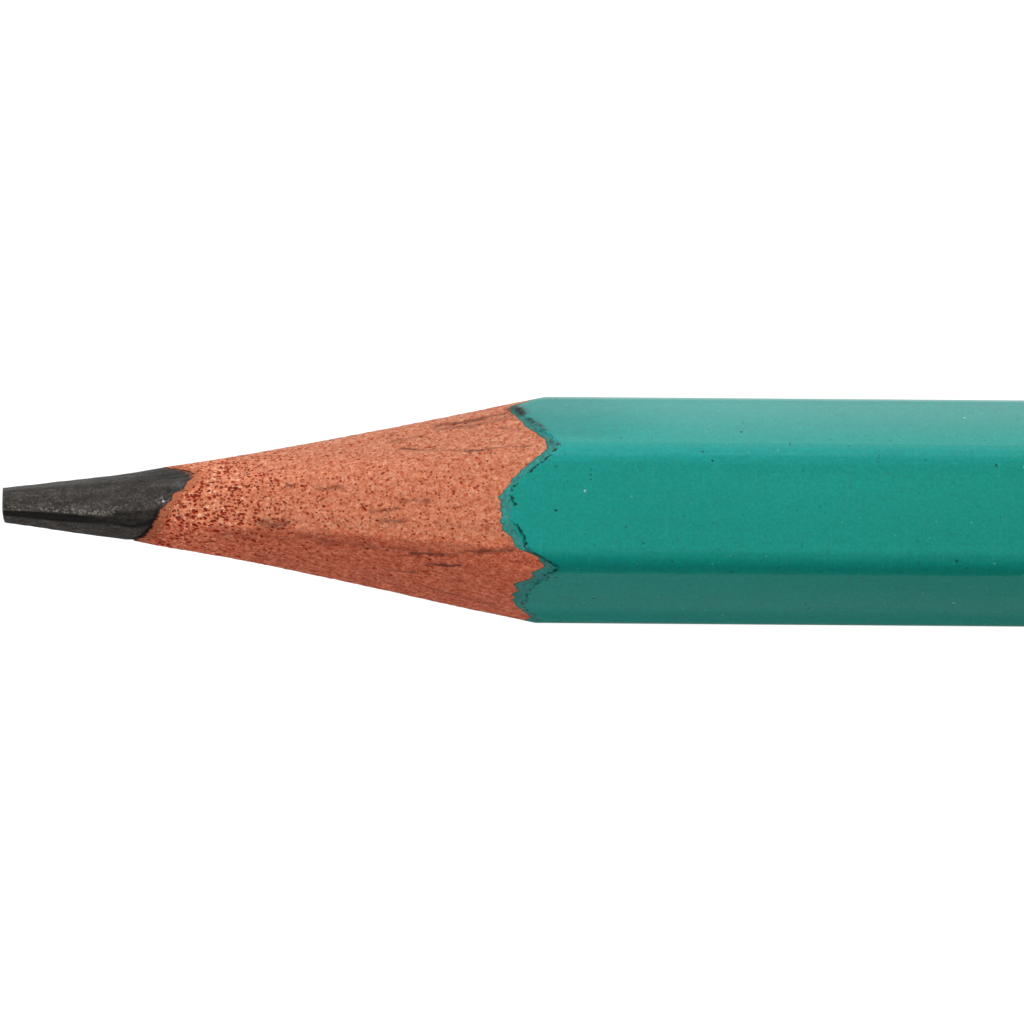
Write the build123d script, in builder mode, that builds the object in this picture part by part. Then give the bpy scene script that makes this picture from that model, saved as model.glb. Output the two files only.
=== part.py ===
from build123d import *
from math import cos, radians, sin
import os

# Hexagonal graphite pencil, sharpened with a knife-like edge and written blunt.
#
# Frame: the pencil lies on one of its six flats. +X runs along it from the
# lead to the sawn rear end, +Z is up, and the origin is under its middle, on
# the surface it lies on. Units are millimetres.

# ---------------------------------------------------------------- dimensions
LENGTH = 172.0  # blunt lead to sawn end
FLATS = 7.0  # across the flats, over the lacquer
CORNER_R = 0.94  # rounding of the long edges, over the lacquer

CLEAR_T = 0.024  # clear varnish
COLOUR_T = 0.046  # coloured lacquer
PRIMER_T = 0.030  # primer on the wood

CORE_D = 2.67  # soft drawing grade
CORE_Y = 0.168  # the grooves sit a little to one side of the barrel
BOND_T = 0.060  # glue sleeve round the core
SEAM_T = 0.060  # glue line between the two slats

# The sharpened end: the axis it was cut about is not quite the barrel's.
# A station is a distance from the blunt tip and a radius about that axis.
TIP_FACE = [(0.0, 0.0), (0.0, 0.26), (0.035, 0.47), (0.10, 0.585)]
LEAD_CONE = (4.45, 1.170)
WOOD_CONE = [(5.60, 1.378), (8.18, 1.828), (12.30, 2.645), (16.42, 3.535), (19.2, 4.145)]
CONE_END = (25.0, 5.43)
AXIS_START = (0.048, 0.043)  # sideways and upward offset at the tip
AXIS_SLOPE = (-0.0054, -0.0122)  # the same, gained per millimetre

# The blade took the wood off flat by flat, so the cone has six broad facets.
# Direction round the axis in degrees, counted from +Y towards +Z, and the
# facet's distance from the axis at the two stations FACET_AT.
FACET_AT = (6.0, 17.5)
WOOD_FACETS = [(36, 1.335, 3.460), (90, 1.400, 3.655), (151, 1.335, 3.450), (208, 1.340, 3.480), (270, 1.390, 3.630), (331, 1.340, 3.480)]

# Flats left on the lead by the blade: direction round the axis in degrees,
# counted from +Y towards +Z, and depth at the tip. Each dies out at FLAT_END.
LEAD_FLATS = [(48, 0.070), (97, 0.045), (131, 0.075), (187, 0.060), (243, 0.075), (301, 0.060), (352, 0.050)]
FLAT_END = 4.2

# ----------------------------------------------------------------- geometry
MID_Z = FLATS / 2
REAR = LENGTH / 2
TIP = -LENGTH / 2
WOOD_INSET = CLEAR_T + COLOUR_T + PRIMER_T
CORE_R = CORE_D / 2
BOND_R = CORE_R + BOND_T

SECTION = Plane.YZ.offset(TIP)  # looks along +X: x is the row's Y, y is its Z
tip_point = Vector(TIP, AXIS_START[0], MID_Z + AXIS_START[1])
cut_dir = Vector(1, *AXIS_SLOPE).normalized()
cut_plane = Plane(origin=tip_point, x_dir=cut_dir, z_dir=Vector(0, 0, 1).cross(cut_dir).cross(cut_dir) * -1)
cut_axis = Axis(tip_point, cut_dir)


def hexagon(inset):
    """The barrel's section, inset from the lacquer's surface, in the current sketch."""
    with Locations((0, MID_Z)):
        RegularPolygon(radius=FLATS / 2 - inset, side_count=6, major_radius=False)
    fillet(vertices(), radius=CORNER_R - inset)


# Everything the sharpening left: a slightly concave cone with six facets that
# runs out through the barrel's flats, and then more room than the barrel needs.
with BuildPart() as sharpened:
    with BuildSketch(cut_plane):
        with BuildLine():
            Polyline(*TIP_FACE, LEAD_CONE)
            Spline(
                LEAD_CONE,
                *WOOD_CONE,
                CONE_END,
                tangents=[(1, 0.166), (1, 0.222)],
            )
            Polyline(CONE_END, (32, 7), (LENGTH + 3, 7), (LENGTH + 3, 0), TIP_FACE[0])
        make_face()
    revolve(axis=cut_axis)
    for turn, near, far in WOOD_FACETS:
        rise = (far - near) / (FACET_AT[1] - FACET_AT[0])
        out = Vector(0, cos(radians(turn)), sin(radians(turn)))
        foot = tip_point + cut_dir * FACET_AT[0] + out * near
        split(bisect_by=Plane(origin=foot, z_dir=out - cut_dir * rise), keep=Keep.BOTTOM)

# --------------------------------------------------------------------- lead
with BuildPart() as graphite_core:
    with BuildSketch(SECTION.offset(-1)):
        with Locations((CORE_Y, MID_Z)):
            Circle(CORE_R)
    extrude(amount=LENGTH + 1)
    add(sharpened.part, mode=Mode.INTERSECT)
    lead_slope = (LEAD_CONE[1] - TIP_FACE[-1][1]) / (LEAD_CONE[0] - TIP_FACE[-1][0])
    for turn, depth in LEAD_FLATS:
        # a plane that lies `depth` under the cone at the tip and meets it at FLAT_END
        slope = lead_slope + depth / FLAT_END
        start = TIP_FACE[-1][1] - lead_slope * TIP_FACE[-1][0] - depth
        out = Vector(0, cos(radians(turn)), sin(radians(turn)))
        split(bisect_by=Plane(origin=tip_point + out * start, z_dir=out - Vector(1, 0, 0) * slope), keep=Keep.BOTTOM)
graphite_core.part.label = "graphite_core"

# --------------------------------------------------------------------- glue
# The sleeve that holds the core in its grooves, over its whole length.
with BuildPart() as core_bond:
    with BuildSketch(SECTION):
        with Locations((CORE_Y, MID_Z)):
            Circle(BOND_R)
            Circle(CORE_R, mode=Mode.SUBTRACT)
    extrude(amount=LENGTH)
    add(sharpened.part, mode=Mode.INTERSECT)
core_bond.part.label = "core_bond"

# The glue line each side of it, out to the barrel's two side edges.
with BuildPart() as glue_line_left:
    with BuildSketch(SECTION):
        hexagon(WOOD_INSET)
        with Locations((CORE_Y + 5, MID_Z)):
            Rectangle(10, SEAM_T, mode=Mode.INTERSECT)
        with Locations((CORE_Y, MID_Z)):
            Circle(BOND_R, mode=Mode.SUBTRACT)
    extrude(amount=LENGTH)
    add(sharpened.part, mode=Mode.INTERSECT)
glue_line_left.part.label = "glue_line_left"

with BuildPart() as glue_line_right:
    with BuildSketch(SECTION):
        hexagon(WOOD_INSET)
        with Locations((CORE_Y - 5, MID_Z)):
            Rectangle(10, SEAM_T, mode=Mode.INTERSECT)
        with Locations((CORE_Y, MID_Z)):
            Circle(BOND_R, mode=Mode.SUBTRACT)
    extrude(amount=LENGTH)
    add(sharpened.part, mode=Mode.INTERSECT)
glue_line_right.part.label = "glue_line_right"

# -------------------------------------------------------------------- slats
# Two milled halves, each with its half-round groove for the core.
with BuildPart() as slat_upper:
    with BuildSketch(SECTION):
        hexagon(WOOD_INSET)
        with Locations((0, MID_Z + SEAM_T / 2 + 5)):
            Rectangle(20, 10, mode=Mode.INTERSECT)
        with Locations((CORE_Y, MID_Z)):
            Circle(BOND_R, mode=Mode.SUBTRACT)
    extrude(amount=LENGTH)
    add(sharpened.part, mode=Mode.INTERSECT)
slat_upper.part.label = "slat_upper"

with BuildPart() as slat_lower:
    with BuildSketch(SECTION):
        hexagon(WOOD_INSET)
        with Locations((0, MID_Z - SEAM_T / 2 - 5)):
            Rectangle(20, 10, mode=Mode.INTERSECT)
        with Locations((CORE_Y, MID_Z)):
            Circle(BOND_R, mode=Mode.SUBTRACT)
    extrude(amount=LENGTH)
    add(sharpened.part, mode=Mode.INTERSECT)
slat_lower.part.label = "slat_lower"

# ------------------------------------------------------------------ lacquer
# Three coats over the wood, all cut to scallops by the sharpening.
with BuildPart() as primer_coat:
    with BuildSketch(SECTION):
        hexagon(CLEAR_T + COLOUR_T)
        with BuildSketch(mode=Mode.SUBTRACT):
            hexagon(WOOD_INSET)
    extrude(amount=LENGTH)
    add(sharpened.part, mode=Mode.INTERSECT)
primer_coat.part.label = "primer_coat"

with BuildPart() as colour_coat:
    with BuildSketch(SECTION):
        hexagon(CLEAR_T)
        with BuildSketch(mode=Mode.SUBTRACT):
            hexagon(CLEAR_T + COLOUR_T)
    extrude(amount=LENGTH)
    add(sharpened.part, mode=Mode.INTERSECT)
colour_coat.part.label = "colour_coat"

with BuildPart() as clear_coat:
    with BuildSketch(SECTION):
        hexagon(0)
        with BuildSketch(mode=Mode.SUBTRACT):
            hexagon(CLEAR_T)
    extrude(amount=LENGTH)
    add(sharpened.part, mode=Mode.INTERSECT)
clear_coat.part.label = "clear_coat"

# ------------------------------------------------------------------- export
os.makedirs("parts", exist_ok=True)
for piece in (
    graphite_core,
    core_bond,
    glue_line_left,
    glue_line_right,
    slat_upper,
    slat_lower,
    primer_coat,
    colour_coat,
    clear_coat,
):
    export_step(piece.part, f"parts/{piece.part.label}.step")
    box = piece.part.bounding_box()
    print(f"{piece.part.label:18s} {piece.part.volume:9.2f} mm3  solids {len(piece.part.solids())}  x {box.min.X:8.3f} {box.max.X:8.3f}  y {box.min.Y:7.3f} {box.max.Y:7.3f}  z {box.min.Z:7.3f} {box.max.Z:7.3f}")
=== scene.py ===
import math

import bpy
import numpy as np
from mathutils import Matrix, Vector


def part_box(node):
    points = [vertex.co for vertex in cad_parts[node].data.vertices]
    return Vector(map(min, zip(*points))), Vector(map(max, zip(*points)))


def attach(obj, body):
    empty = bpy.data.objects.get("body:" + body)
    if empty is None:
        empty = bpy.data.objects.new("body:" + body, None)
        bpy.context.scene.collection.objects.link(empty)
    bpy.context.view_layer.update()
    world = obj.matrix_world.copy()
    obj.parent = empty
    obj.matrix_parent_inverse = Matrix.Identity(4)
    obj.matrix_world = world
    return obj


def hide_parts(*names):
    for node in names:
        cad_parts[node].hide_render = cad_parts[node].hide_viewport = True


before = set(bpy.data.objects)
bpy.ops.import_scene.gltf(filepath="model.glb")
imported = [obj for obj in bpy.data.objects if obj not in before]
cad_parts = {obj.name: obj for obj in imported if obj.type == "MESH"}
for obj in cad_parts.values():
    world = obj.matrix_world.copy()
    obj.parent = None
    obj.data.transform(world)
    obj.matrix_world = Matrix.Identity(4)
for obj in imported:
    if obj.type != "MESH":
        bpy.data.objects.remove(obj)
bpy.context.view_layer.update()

MM = 0.001
rng = np.random.default_rng(7)

# ------------------------------------------------------------------ the frame
# Millimetres from here on. x is the row's X, and y and z are counted from the
# barrel's own axis; put() turns them back into the row's metres.
lo_c, hi_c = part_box("clear_coat")
lo_g, hi_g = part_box("graphite_core")
lo_b, hi_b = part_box("core_bond")
lo_u, hi_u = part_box("slat_upper")
lo_l, hi_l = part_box("slat_lower")
lo_p, hi_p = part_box("primer_coat")
lo_k, hi_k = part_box("colour_coat")
REAR = hi_g.x / MM
TIP = -REAR
FLATS = (hi_c.z - lo_c.z) / MM
MID_Z = (hi_c.z + lo_c.z) / 2 / MM
WOOD_IN = (hi_c.z - hi_u.z) / MM
PRIMER_IN = (hi_c.z - hi_p.z) / MM
COLOUR_IN = (hi_c.z - hi_k.z) / MM
CORE_R = (hi_g.z - lo_g.z) / 2 / MM
CORE_Y = ((hi_b.y + lo_b.y) / 2) / MM
BOND_R = (hi_b.z - lo_b.z) / 2 / MM
SEAM = (lo_u.z - hi_l.z) / MM
EDGE_R = 0.94

# -------------------------------------------------------------- number makers


def hashed(ix, iy, iz, seed):
    h = (ix.astype(np.int64) * 374761393 + iy.astype(np.int64) * 668265263 + iz.astype(np.int64) * 2147483647 + seed * 974634777) & 0xFFFFFFFF
    h = ((h ^ (h >> 13)) * 1274126177) & 0xFFFFFFFF
    h = ((h ^ (h >> 16)) * 2246822519) & 0xFFFFFFFF
    return ((h ^ (h >> 15)) & 0xFFFFFF) / float(0xFFFFFF)


def noise(x, y, z, seed=0):
    """Smooth noise from -1 to 1 with a cell of 1."""
    x, y, z = np.broadcast_arrays(np.asarray(x, float), np.asarray(y, float), np.asarray(z, float))
    ix, iy, iz = np.floor(x), np.floor(y), np.floor(z)
    fx, fy, fz = x - ix, y - iy, z - iz
    fx, fy, fz = (f * f * f * (f * (f * 6 - 15) + 10) for f in (fx, fy, fz))
    out = 0.0
    for dx in (0, 1):
        for dy in (0, 1):
            for dz in (0, 1):
                w = (fx if dx else 1 - fx) * (fy if dy else 1 - fy) * (fz if dz else 1 - fz)
                out = out + w * hashed(ix + dx, iy + dy, iz + dz, seed)
    return out * 2 - 1


def fbm(x, y, z, octaves=4, seed=0, gain=0.55):
    out, amp, total = 0.0, 1.0, 0.0
    for i in range(octaves):
        out = out + amp * noise(x * 2**i, y * 2**i, z * 2**i, seed + 17 * i)
        total += amp
        amp *= gain
    return out / total


def step(a, b, x):
    s = np.clip((x - a) / (b - a), 0, 1)
    return s * s * (3 - 2 * s)


def through(points, x, period=None):
    """A smooth curve through a few (x, y) points."""
    px = np.array([p[0] for p in points], float)
    py = np.array([p[1] for p in points], float)
    if period:
        x = np.mod(x, period)
        px = np.concatenate([px - period, px, px + period])
        py = np.concatenate([py, py, py])
    d = np.diff(py) / np.diff(px)
    h = np.diff(px)
    m = np.empty(len(px))
    m[0], m[-1] = d[0], d[-1]
    m[1:-1] = (d[:-1] * h[1:] + d[1:] * h[:-1]) / (h[:-1] + h[1:])
    x = np.asarray(x, float)
    i = np.clip(np.searchsorted(px, x) - 1, 0, len(px) - 2)
    s = np.clip((x - px[i]) / h[i], 0, 1)
    return (
        (2 * s**3 - 3 * s**2 + 1) * py[i]
        + (s**3 - 2 * s**2 + s) * h[i] * m[i]
        + (-2 * s**3 + 3 * s**2) * py[i + 1]
        + (s**3 - s**2) * h[i] * m[i + 1]
    )


# ------------------------------------------------------ shape of the sharpening
CONE = [(0.10, 0.602), (2.2, 0.871), (4.45, 1.170), (5.60, 1.367), (8.18, 1.802), (12.30, 2.600), (16.42, 3.470), (19.2, 4.065), (25.0, 5.33)]
# How far each direction round the axis stands off that cone, in mm, where the
# cone is CUT_AT thick: the blade left flats with soft ridges between them.
CUT_AT = 3.72
WOOD_CUT = [
    (0, -0.01), (13, -0.09), (25, -0.205), (38, -0.262), (47, -0.19), (55, -0.02), (61, 0.085), (68, 0.078), (77, 0.005),
    (89, -0.062), (98, -0.015), (106, 0.04), (112.5, 0.098), (118, 0.03), (125, -0.05), (132, -0.13), (141, -0.215),
    (152, -0.266), (164, -0.215), (172, -0.13), (180, 0.0), (188, -0.10), (197, -0.21), (209, -0.26), (222, -0.17), (234, 0.02),
    (243, 0.09), (252, 0.02), (270, -0.07), (286, 0.03), (296, 0.09), (305, 0.0), (317, -0.18), (330, -0.26), (346, -0.13),
]
# The same for the lead, as shares of its radius.
LEAD_CUT = [
    (0, 0.0), (22, -0.028), (44, 0.004), (66, -0.016), (88, -0.006), (100, 0.008), (180, 0.0), (200, -0.05), (222, 0.0),
    (244, -0.055), (262, 0.005), (285, -0.045), (305, 0.0), (332, -0.045), (352, 0.0),
]
# The narrow dark flat on the lead: its two edges, as directions in degrees,
# at distances from the tip in mm.
BAND_TOP = [(0, 107.5), (1.1, 108.4), (1.9, 110.8), (2.4, 111.7), (2.9, 110.6), (3.26, 111), (3.5, 111), (3.78, 108), (4.16, 101.5), (4.53, 98.7), (4.95, 96.3), (7, 95)]
BAND_LOW = [(0, 127), (1.1, 128.8), (1.9, 131), (2.4, 130.4), (2.9, 128.3), (3.26, 126), (3.7, 124.6), (4.16, 125.8), (4.53, 127.3), (5.0, 122.3), (7, 120)]
# Where across that flat its darkest painted shade starts: it narrows to the lower edge.
BAND_DARK = [(0, 0), (2.8, 0), (3.26, 0.34), (3.5, 0.56), (3.78, 0.70), (4.16, 0.78), (4.53, 0.78), (4.95, 0.72), (7, 0.72)]


def cone_r(t):
    return through(CONE, np.maximum(t, 0.0))


def axis_y(t):
    return 0.048 - 0.0054 * t - 0.034 * (1 - step(4.5, 8.0, t)) + 0.012 * (1 - step(0, 2.5, t))


def axis_z(t):
    return 0.043 - 0.0122 * t


def band_s(t, deg):
    a, b = through(BAND_TOP, t), through(BAND_LOW, t)
    return (deg - a) / (b - a), a, b


def cut_r(t, th):
    """Radius of the sharpened surface about its own axis."""
    deg = np.mod(np.degrees(th), 360)
    r = cone_r(t)
    wood = through(WOOD_CUT, deg, 360) * r / CUT_AT
    s, a, b = band_s(t, deg)
    # the lead: flats, then the dark flat, which is sunk, and a lower flat from it to the side
    lead = through(LEAD_CUT, deg, 360)
    sunk = step(-0.12, 0.10 + 0.5 * step(2.9, 3.8, t), s) * (1 - step(0.86, 1.06, s))
    low = np.clip((deg - b) / (180 - b), 0, 1)
    lead = lead + 0.022 * np.exp(-(((s + 0.1) / 0.28) ** 2))
    lead = np.where((deg > 88) & (deg < 200), lead - 0.055 * (1 - 0.55 * step(3.2, 4.0, t)) * sunk - 0.045 * np.sin(np.pi * low) * (s > 0.9) * step(0.9, 1.3, s), lead)
    w = step(4.3, 5.6, t)
    return r + wood * w + lead * r * (1 - w)


def env0(t, th):
    """Radius of the sharpened surface about the barrel's axis, before the fit to its two edges."""
    ay, az = axis_y(t), axis_z(t)
    c, s = np.cos(th), np.sin(th)
    cd = ay * c + az * s
    return cd + np.sqrt(np.maximum(cut_r(t, th) ** 2 - ay**2 - az**2 + cd**2, 1e-9))


def hex_r(th, inset):
    """Radius of the barrel's rounded hexagon, inset from the lacquer's surface."""
    a, rc = FLATS / 2 - inset, EDGE_R - inset
    ph = np.radians(np.abs(np.mod(np.degrees(th) + 30, 60) - 30))
    h = (a - rc) / math.cos(math.radians(30))
    turn = math.atan2(rc * 0.5, h + rc * math.cos(math.radians(30)))
    arc = h * np.cos(ph) + np.sqrt(np.maximum(rc**2 - (h * np.sin(ph)) ** 2, 0))
    return np.where(ph < turn, arc, a / np.cos(math.radians(30) - ph))


def round_r(th, r):
    """Radius about the barrel's axis of a circle round the lead."""
    return CORE_Y * np.cos(th) + np.sqrt(r * r - (CORE_Y * np.sin(th)) ** 2)


def meet(th, target):
    """Distance from the tip at which the sharpened surface reaches a radius."""
    a, b = np.full(th.shape, 0.2), np.full(th.shape, 25.0)
    for _ in range(36):
        m = (a + b) / 2
        out = env0(m, th) > target
        b, a = np.where(out, m, b), np.where(out, a, m)
    return (a + b) / 2


def ragged(th, r, scale, amount, seed, octaves=3):
    """An uneven edge: its wander along x, in mm, by direction."""
    return amount * fbm(np.cos(th) * r * scale, np.sin(th) * r * scale, 0.37 * seed, octaves, seed, 0.6)


# Where the lead comes out of the wood, mm from the tip, by direction.
LEAD_END = [
    (0, 5.52), (12, 5.58), (19, 5.82), (26, 6.09), (31, 6.23), (36, 6.34), (42, 6.46), (48, 6.47), (54, 6.37), (62, 6.26), (67, 6.15), (71.5, 5.92),
    (80, 5.80), (89, 5.60), (94, 5.46), (104, 5.38), (118, 5.22), (127, 5.15), (138, 5.05), (147, 4.94), (158, 4.71), (172, 4.56), (180, 4.52),
    (200, 5.0), (222, 5.45), (244, 5.2), (262, 5.6), (284, 5.95), (306, 5.7), (330, 5.95), (348, 5.4),
]
# How the wood's edge under the lacquer wanders beyond what the cut gives.
FILM_WANDER = [
    (0, -0.05), (6, -0.14), (12, -0.26), (15, -0.22), (19, -0.04), (24, 0.02), (31, 0.02), (36, -0.08), (40, -0.22), (44, -0.15), (49, -0.08), (54, 0.0),
    (59, 0.10), (66, 0.08), (69, 0.12), (72, 0.13), (76, 0.03), (80, -0.06), (84, -0.12), (88, -0.09), (91, 0.0), (95, 0.04), (99, -0.01), (102, 0.12),
    (105, 0.20), (108, 0.26), (111, 0.20), (114, 0.10), (117, 0.0), (121, 0.04), (124, 0.05), (127, -0.18), (131, 0.12), (135, 0.06), (138, -0.10), (142, -0.05),
    (146, 0.10), (150, 0.0), (156, -0.06), (164, 0.06), (172, 0.22), (180, 0.2), (200, 0.0), (240, 0.06), (280, -0.05), (300, 0.08), (330, -0.06), (348, 0.05),
]


# How far the cut runs across the lacquer, mm along the pencil, by direction.
FILM_WIDTH = [
    (0, 0.32), (12, 0.30), (18, 0.23), (40, 0.22), (46, 0.26), (52, 0.33), (58, 0.40), (66, 0.40), (72, 0.43), (78, 0.38), (84, 0.44), (88, 0.52), (94, 0.42),
    (100, 0.56), (104, 0.43), (108, 0.36), (122, 0.36), (126, 0.48), (131, 0.56), (138, 0.60), (146, 0.50), (155, 0.45), (164, 0.34), (180, 0.32),
    (205, 0.45), (230, 0.30), (250, 0.38), (270, 0.50), (292, 0.32), (320, 0.48), (345, 0.36),
]


def lead_end0(th):
    return through(LEAD_END, np.degrees(th) % 360, 360)


def film_edge0(th):
    return meet(th, hex_r(th, WOOD_IN)) + through(FILM_WANDER, np.degrees(th) % 360, 360)


# The cut surface passes exactly through the lead's side where the lead comes
# out, and through the wood's own surface where the lacquer starts.
FIT_TH = np.linspace(0, 2 * math.pi, 1441)
FIT_TH[-1] = 0.0
FIT_LEAD_T = lead_end0(FIT_TH)
FIT_FILM_T = film_edge0(FIT_TH)
FIT_LEAD = np.clip(round_r(FIT_TH, CORE_R) - env0(FIT_LEAD_T, FIT_TH), -0.05, 0.02)
FIT_FILM = hex_r(FIT_TH, WOOD_IN) - env0(FIT_FILM_T, FIT_TH)
FIT_TH[-1] = 2 * math.pi


def env(t, th):
    """Radius of the sharpened surface about the barrel's axis."""
    th = np.mod(th, 2 * math.pi)
    tl, tf = np.interp(th, FIT_TH, FIT_LEAD_T), np.interp(th, FIT_TH, FIT_FILM_T)
    wl = np.exp(-(((t - tl) / 0.8) ** 2))
    wf = np.exp(-((np.minimum(t - tf, 0) / 1.5) ** 2))
    return env0(t, th) + wl * np.interp(th, FIT_TH, FIT_LEAD) + wf * np.interp(th, FIT_TH, FIT_FILM)


def teeth(th, count, seed):
    """A jagged edge: straight runs between uneven points."""
    n = int(count)
    v = hashed(np.arange(n), np.zeros(n), np.zeros(n), seed) * 2 - 1
    return np.interp(np.mod(th, 2 * math.pi) / (2 * math.pi) * n, np.arange(n + 1), np.append(v, v[0]))


def lead_end(th):
    return lead_end0(th) + ragged(th, 1.3, 3.2, 0.04, 3) + 0.045 * teeth(th, 84, 5) + 0.045 * teeth(th, 170, 6)


def wood_start(th):
    gap = 0.045 + 0.08 * np.clip(noise(np.cos(th) * 3, np.sin(th) * 3, 5.0, 9), 0, 1) + 0.14 * np.exp(-(((np.degrees(th) % 360 - 33) / 7) ** 2))
    return lead_end(th) + gap


def film_edges(th):
    """Distances from the tip where the cut crosses the coats: wood, primer, colour and the clear coat's outer edge."""
    wood = film_edge0(th) + ragged(th, 3.6, 0.9, 0.11, 21, 2) + ragged(th, 3.6, 3.3, 0.12, 25, 3)
    chip = np.clip(noise(np.cos(th) * 9, np.sin(th) * 9, 1.5, 31) - 0.35, 0, 1) * 0.22
    wood = wood + chip + 0.05 * teeth(th, 170, 33) + 0.04 * teeth(th, 330, 34)
    outer = film_edge0(th) + through(FILM_WIDTH, np.degrees(th) % 360, 360)
    outer = outer + ragged(th, 3.6, 1.3, 0.06, 41, 2) + ragged(th, 3.6, 4.0, 0.05, 45, 3) + 0.035 * teeth(th, 230, 35)
    outer = np.maximum(outer, wood + 0.13)
    primer = wood + (outer - wood) * (0.27 + 0.10 * noise(np.cos(th) * 6, np.sin(th) * 6, 2.0, 51))
    colour = wood + (outer - wood) * (0.80 + 0.08 * noise(np.cos(th) * 7, np.sin(th) * 7, 2.0, 57))
    return wood, primer, colour, outer


# ------------------------------------------------------------------ mesh makers


def put(x, y, z):
    return np.stack([x * MM, y * MM, (z + MID_Z) * MM], -1)


def make(name, verts, faces, sharp=38, loops=None, attributes=()):
    """A closed mesh object from row-frame points and lists of faces."""
    me = bpy.data.meshes.new(name)
    me.from_pydata(verts.reshape(-1, 3).tolist(), [], faces)
    me.validate()
    me.update()
    me.shade_smooth()
    me.set_sharp_from_angle(angle=math.radians(sharp))
    for key, values in attributes:
        a = me.attributes.new(key, "FLOAT", "POINT")
        a.data.foreach_set("value", np.asarray(values, np.float32).ravel())
    ob = bpy.data.objects.new(name, me)
    bpy.context.scene.collection.objects.link(ob)
    return ob


def rings(n_rings, n_cols, start=0, closed_rings=False):
    """Quads between consecutive rings of points, each ring closed on itself."""
    f = []
    last = n_rings if closed_rings else n_rings - 1
    i = np.arange(last)[:, None]
    j = np.arange(n_cols)[None, :]
    a = start + (i % n_rings) * n_cols + j
    b = start + ((i + 1) % n_rings) * n_cols + j
    c = start + ((i + 1) % n_rings) * n_cols + (j + 1) % n_cols
    d = start + (i % n_rings) * n_cols + (j + 1) % n_cols
    return np.stack([a, d, c, b], -1).reshape(-1, 4).tolist()


def strip(n_loop, n_cols):
    """Quads of a profile loop repeated over open columns, and the two end caps."""
    i = np.arange(n_loop)[:, None]
    j = np.arange(n_cols - 1)[None, :]
    a = i * n_cols + j
    b = ((i + 1) % n_loop) * n_cols + j
    quads = np.stack([a, a + 1, b + 1, b], -1).reshape(-1, 4).tolist()
    first = [k * n_cols for k in range(n_loop)]
    last = [k * n_cols + n_cols - 1 for k in range(n_loop)][::-1]
    return quads + [first, last]


def outward(ob):
    """Turns the faces outwards."""
    import bmesh

    bm = bmesh.new()
    bm.from_mesh(ob.data)
    bmesh.ops.recalc_face_normals(bm, faces=bm.faces)
    bm.to_mesh(ob.data)
    bm.free()
    ob.data.set_sharp_from_angle(angle=math.radians(38))


# ------------------------------------------------ marks left on the cut surface
# Each is a line of points, (distance from the tip in mm, direction round the
# axis in degrees), then its half-width in mm and its strength.
STREAKS = [
    ([(6.3, 56), (6.9, 57), (7.5, 59)], 0.26, 0.17),
    ([(13.4, 27.5), (14.4, 27)], 0.07, 0.5),
    ([(14.9, 17), (16.1, 19.5), (17.4, 17)], 0.11, 0.72),
    ([(15.0, 22.5), (16.1, 25), (17.1, 23), (17.55, 20)], 0.12, 0.48),
    ([(13.7, 38), (14.3, 43.5), (14.9, 46.5)], 0.06, 0.8),
    ([(15.2, 48), (15.8, 52), (16.5, 53.5)], 0.06, 0.8),
    ([(16.6, 52.5), (17.3, 53), (18.2, 55)], 0.05, 0.55),
    ([(17.1, 32), (17.8, 37)], 0.07, 0.55),
    ([(13.7, 86.5), (14.7, 85.5)], 0.065, 0.5),
    ([(13.0, 101), (13.8, 100.5)], 0.07, 0.55),
    ([(14.1, 124), (14.7, 123), (15.3, 121.5)], 0.06, 0.8),
    ([(15.4, 121), (16.0, 118), (16.8, 116), (17.6, 113)], 0.08, 0.6),
    ([(14.6, 134), (14.8, 131.5), (15.3, 131.5)], 0.07, 1.0),
    ([(15.3, 131.5), (15.8, 129)], 0.045, 0.9),
    ([(13.2, 146.5), (14.4, 144)], 0.06, 0.6),
    ([(8.9, 108), (9.4, 109), (9.9, 105.5)], 0.15, 0.6),
    ([(7.6, 125.5), (8.5, 122), (9.8, 122.5)], 0.17, 0.28),
    ([(10.2, 119), (11.3, 121), (12.4, 120.5)], 0.19, 0.34),
    ([(12.4, 121.5), (13.7, 121.7), (14.7, 120.5)], 0.17, 0.32),
    ([(10.9, 75), (11.7, 74)], 0.09, 0.5),
    ([(12.7, 94.5), (13.7, 91.5)], 0.07, 0.45),
    ([(14.8, 161.5), (15.8, 164.5), (17.1, 168)], 0.06, 0.4),
    ([(9.8, 68.6), (9.95, 70)], 0.05, 1.0),
    ([(17.35, 14), (17.62, 16.5)], 0.09, 1.0),
]
# Points on the lead round which painted glints gather.
SPARKLE = [(5.44, 80.5), (5.70, 85), (5.56, 92.5)]
FILM_MARKS = [
    ([(17.62, 13.5), (17.76, 18), (17.86, 21.5)], 0.155, 1.5),
    ([(18.10, 28), (18.45, 37), (18.62, 42)], 0.075, 1.15),
    ([(18.86, 53), (19.05, 55.5)], 0.10, 0.75),
    ([(18.0, 114), (18.55, 116.5), (19.1, 121.5)], 0.045, 0.85),
    ([(19.1, 123), (18.85, 127), (18.5, 133), (18.2, 142)], 0.035, 0.6),
    ([(18.05, 148), (18.02, 156)], 0.045, 0.7),
]


def near(t, th, points):
    """Distance over the surface, in mm, to a line of points."""
    best = np.full(t.shape, 1e9)
    r = np.maximum(cone_r(np.minimum(t, 19.0)), 0.3)
    s = th * r
    for (t0, d0), (t1, d1) in zip(points, points[1:]):
        s0, s1 = math.radians(d0) * r, math.radians(d1) * r
        dt, ds = t1 - t0, s1 - s0
        k = np.clip(((t - t0) * dt + (s - s0) * ds) / (dt * dt + ds * ds), 0, 1)
        best = np.minimum(best, np.hypot(t - t0 - k * dt, s - s0 - k * ds))
    return best
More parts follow.
